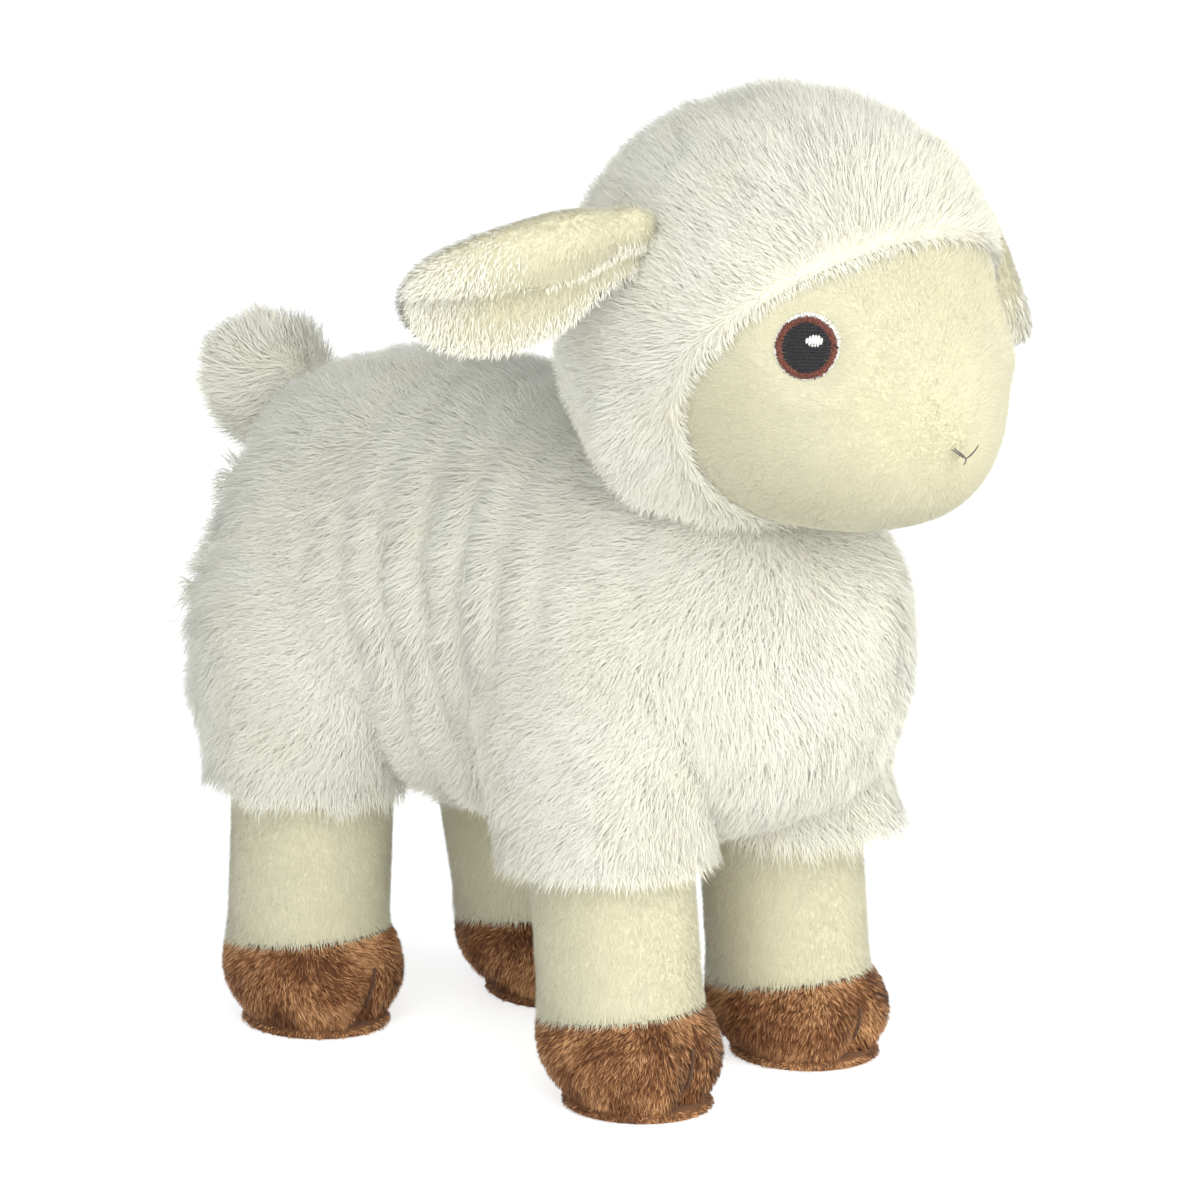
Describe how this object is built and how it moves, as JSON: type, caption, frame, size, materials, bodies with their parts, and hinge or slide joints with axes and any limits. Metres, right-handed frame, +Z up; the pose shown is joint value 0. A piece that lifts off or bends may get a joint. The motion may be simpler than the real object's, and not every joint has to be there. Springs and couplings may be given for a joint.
{
  "type": "stuffed toy sheep",
  "caption": "Standing stuffed toy sheep in long fleece, with a head that turns and nods, swinging legs, bending ears and a tail that wags.",
  "frame": {"origin": "centre of the footprint of the whole part's box, at the level of the soles", "axes": "+Z up, the sheep faces -Y, and its left side is at +X"},
  "size_m": [0.1864, 0.2384, 0.2334],
  "materials": {
    "fleece": "long cream fleece",
    "short_pile": "short pale butter pile",
    "hoof_pile": "short brown pile",
    "stuffing": "loose white fibre",
    "pellet_cloth": "plain woven bag with pellets",
    "white_thread": "satin thread",
    "brown_thread": "satin thread",
    "black_thread": "satin thread",
    "grey_thread": "thread"
  },
  "bodies": {
    "torso": {"torso_skin": "fleece", "torso_filling": "stuffing", "closing_seam": "white_thread"},
    "neck": {"neck_filling": "stuffing"},
    "head": {"head_hood": "fleece", "face_panel": "short_pile", "head_filling": "stuffing", "nose_stitch": "grey_thread", "right_eye_outline": "white_thread", "right_eye_iris": "brown_thread", "right_eye_pupil": "black_thread", "right_eye_highlight": "white_thread", "left_eye_outline": "white_thread", "left_eye_iris": "brown_thread", "left_eye_pupil": "black_thread", "left_eye_highlight": "white_thread"},
    "right_ear": {"right_ear_back": "short_pile", "right_ear_front": "short_pile", "right_ear_tack": "white_thread"},
    "left_ear": {"left_ear_back": "short_pile", "left_ear_front": "short_pile", "left_ear_tack": "white_thread"},
    "tail": {"tail_skin": "fleece", "tail_filling": "stuffing"},
    "front_right_leg": {"front_right_trouser": "fleece", "front_right_shin": "short_pile", "front_right_hoof": "hoof_pile", "front_right_sole": "hoof_pile", "front_right_leg_filling": "stuffing", "front_right_pellet_bag": "pellet_cloth", "front_right_cleft_stitch": "white_thread"},
    "front_left_leg": {"front_left_trouser": "fleece", "front_left_shin": "short_pile", "front_left_hoof": "hoof_pile", "front_left_sole": "hoof_pile", "front_left_leg_filling": "stuffing", "front_left_pellet_bag": "pellet_cloth", "front_left_cleft_stitch": "white_thread"},
    "hind_right_leg": {"hind_right_trouser": "fleece", "hind_right_shin": "short_pile", "hind_right_hoof": "hoof_pile", "hind_right_sole": "hoof_pile", "hind_right_leg_filling": "stuffing", "hind_right_pellet_bag": "pellet_cloth", "hind_right_cleft_stitch": "white_thread"},
    "hind_left_leg": {"hind_left_trouser": "fleece", "hind_left_shin": "short_pile", "hind_left_hoof": "hoof_pile", "hind_left_sole": "hoof_pile", "hind_left_leg_filling": "stuffing", "hind_left_pellet_bag": "pellet_cloth", "hind_left_cleft_stitch": "white_thread"}
  },
  "joints": [
    {"name": "head_turn", "type": "hinge", "parent": "torso", "child": "neck", "pos_m": [0.01078, -0.03882, 0.136], "axis": [0, 0, 1], "range_deg": [-12, 15], "stiffness_Nm_per_rad": 0.5},
    {"name": "head_nod", "type": "hinge", "parent": "neck", "child": "head", "pos_m": [0.01078, -0.03882, 0.136], "axis": [0.9903, -0.1392, 0], "range_deg": [-4, 10], "stiffness_Nm_per_rad": 0.6, "springref_deg": -1.15},
    {"name": "right_ear_bend", "type": "hinge", "parent": "head", "child": "right_ear", "pos_m": [-0.0428, -0.05547, 0.20909], "axis": [0.1392, 0.9903, 0], "range_deg": [-28, 16], "stiffness_Nm_per_rad": 0.01},
    {"name": "left_ear_bend", "type": "hinge", "parent": "head", "child": "left_ear", "pos_m": [0.05769, -0.0696, 0.2091], "axis": [0.1392, 0.9903, 0], "range_deg": [-32, 2], "stiffness_Nm_per_rad": 0.01},
    {"name": "tail_wag", "type": "hinge", "parent": "torso", "child": "tail", "pos_m": [0.01078, 0.0945, 0.13628], "axis": [0, -0.4945, 0.8692], "range_deg": [-15, 15], "stiffness_Nm_per_rad": 0.005},
    {"name": "front_right_hip", "type": "hinge", "parent": "torso", "child": "front_right_leg", "pos_m": [-0.01672, -0.02456, 0.085], "axis": [1, 0, 0], "range_deg": [-10, 10], "stiffness_Nm_per_rad": 0.3},
    {"name": "front_left_hip", "type": "hinge", "parent": "torso", "child": "front_left_leg", "pos_m": [0.03828, -0.02738, 0.085], "axis": [1, 0, 0], "range_deg": [-10, 10], "stiffness_Nm_per_rad": 0.3},
    {"name": "hind_right_hip", "type": "hinge", "parent": "torso", "child": "hind_right_leg", "pos_m": [-0.01672, 0.0652, 0.085], "axis": [1, 0, 0], "range_deg": [-10, 10], "stiffness_Nm_per_rad": 0.3},
    {"name": "hind_left_hip", "type": "hinge", "parent": "torso", "child": "hind_left_leg", "pos_m": [0.03828, 0.05992, 0.085], "axis": [1, 0, 0], "range_deg": [-10, 10], "stiffness_Nm_per_rad": 0.3}
  ]
}
